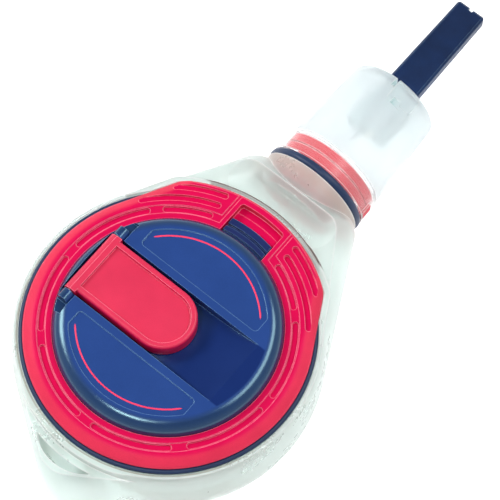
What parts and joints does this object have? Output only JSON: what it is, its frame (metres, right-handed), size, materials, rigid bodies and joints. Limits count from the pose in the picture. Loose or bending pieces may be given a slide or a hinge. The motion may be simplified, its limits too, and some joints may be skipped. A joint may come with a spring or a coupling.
{
  "type": "chalk line reel",
  "caption": "Chalk line reel: clear pebble-shaped case, crank disc with a fold-up handle, sliding line lock, pull-off frosted nose with felts, and a flat line pin stowed in the nose",
  "frame": {"origin": "on the reel's turning axis, in the flat back face that the tool rests on", "axes": "+Z out of the crank side, +Y along the neck and out of the nose, +X to the right when the crank side faces the viewer and the nose points up"},
  "size_m": [0.092, 0.1988, 0.0463],
  "materials": {
    "clear_plastic": "clear, slightly green injection-moulded shell, polished outside",
    "frosted_plastic": "milky translucent moulding with a fine matt surface",
    "red_plastic": "satin moulded red plastic",
    "navy_plastic": "satin moulded dark blue plastic",
    "navy_rubber": "smooth moulded seal rubber",
    "white_plastic": "natural white moulded plastic",
    "steel": "plain drawn steel",
    "bronze": "sintered bronze bearing metal",
    "line_cotton": "twisted cotton line",
    "felt": "pressed wool felt"
  },
  "bodies": {
    "case": {"clear_case": "clear_plastic", "front_cover": "red_plastic", "cover_gasket": "navy_rubber", "detent_spring": "steel", "reel_axle": "steel", "thrust_washer": "steel", "line_run": "line_cotton"},
    "reel": {"crank_disc": "navy_plastic", "disc_seal": "felt", "handle_hinge_pin": "steel", "line_spool": "white_plastic", "ratchet_flange": "white_plastic", "axle_bush": "bronze", "spool_screw": "steel", "screw_washer": "steel", "wound_line": "line_cotton"},
    "handle": {"crank_handle": "red_plastic"},
    "lock": {"lock_slider": "navy_plastic", "lock_pawl": "steel"},
    "nose": {"nose_cap": "frosted_plastic", "felt_holder": "red_plastic", "felt_pad_front": "felt", "felt_pad_back": "felt", "felt_retainer": "white_plastic", "neck_o_ring": "navy_rubber", "line_in_felt": "line_cotton"},
    "line_pin": {"line_pin_grip": "navy_plastic", "pin_needle": "steel", "line_knot": "line_cotton", "line_tail": "line_cotton"}
  },
  "joints": [
    {"name": "reel_spin", "type": "hinge", "parent": "case", "child": "reel", "pos_m": [0, 0, 0.019], "axis": [0, 0, 1], "continuous": true},
    {"name": "handle_fold", "type": "hinge", "parent": "reel", "child": "handle", "pos_m": [-0.02785, 0, 0.0439], "axis": [0, -1, 0], "range_deg": [0, 100]},
    {"name": "lock_slide", "type": "slide", "parent": "case", "child": "lock", "axis": [0, 1, 0], "range_m": [0, 0.003]},
    {"name": "nose_pull", "type": "slide", "parent": "case", "child": "nose", "axis": [0, 1, 0], "range_m": [0, 0.025]},
    {"name": "pin_pull", "type": "slide", "parent": "nose", "child": "line_pin", "axis": [0, 1, 0], "range_m": [0, 0.03]}
  ]
}
